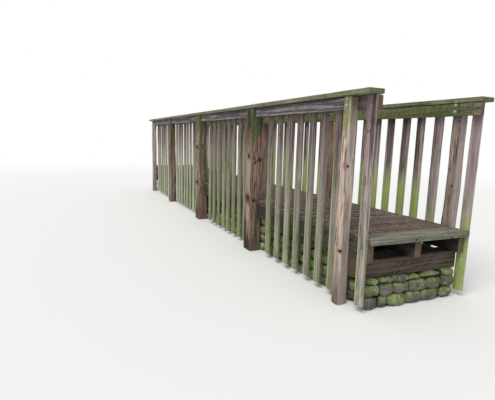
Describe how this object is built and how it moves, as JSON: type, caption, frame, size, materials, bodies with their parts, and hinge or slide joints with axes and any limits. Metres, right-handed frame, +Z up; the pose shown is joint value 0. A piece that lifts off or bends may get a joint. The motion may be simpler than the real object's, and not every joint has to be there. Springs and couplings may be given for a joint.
{
  "type": "wooden footbridge",
  "caption": "Narrow timber footbridge with picket balustrades, flat handrail caps and a boarded deck on stepped stone abutments.",
  "frame": {"origin": "under the middle of the bridge, on the ground and water level that its posts and abutments stand on", "axes": "+X along the bridge from the near bank to the far bank, +Y to the left balustrade, +Z up"},
  "size_m": [7.62, 1.23, 1.7],
  "materials": {
    "stone": "rough mossy rubble stone",
    "ground_timber": "dark damp sawn timber",
    "deck_board": "worn board, green-grey at the edges",
    "post_log": "weathered waney log, algae on the corners",
    "picket": "weathered board, algae on the edges",
    "outer_rail": "silver-grey weathered board",
    "inner_rail": "algae-covered board",
    "handrail_cap": "algae-covered board",
    "fixing": "dull galvanised bolts, washers and nails"
  },
  "bodies": {
    "root": {"abutment_near": "stone", "abutment_far": "stone", "sill_near": "ground_timber", "sill_far": "ground_timber", "crossbeam": "ground_timber", "stringer_left": "ground_timber", "stringer_middle": "ground_timber", "stringer_right": "ground_timber", "end_board_near": "deck_board", "deck_boards_1": "deck_board", "deck_boards_2": "deck_board", "deck_boards_3": "deck_board", "deck_boards_4": "deck_board", "end_board_far": "deck_board", "post_left_1": "post_log", "post_left_2": "post_log", "post_left_3": "post_log", "post_left_4": "post_log", "post_left_5": "post_log", "post_right_1": "post_log", "post_right_2": "post_log", "post_right_3": "post_log", "post_right_4": "post_log", "post_right_5": "post_log", "pickets_left_1": "picket", "pickets_left_2": "picket", "pickets_left_3": "picket", "pickets_left_4": "picket", "pickets_right_1": "picket", "pickets_right_2": "picket", "pickets_right_3": "picket", "pickets_right_4": "picket", "end_picket_left_near": "picket", "end_picket_left_far": "picket", "end_picket_right_near": "picket", "end_picket_right_far": "picket", "outer_rails_left": "outer_rail", "outer_rails_right": "outer_rail", "inner_rail_left": "inner_rail", "inner_rail_right": "inner_rail", "cap_left": "handrail_cap", "cap_right": "handrail_cap"}
  },
  "joints": []
}
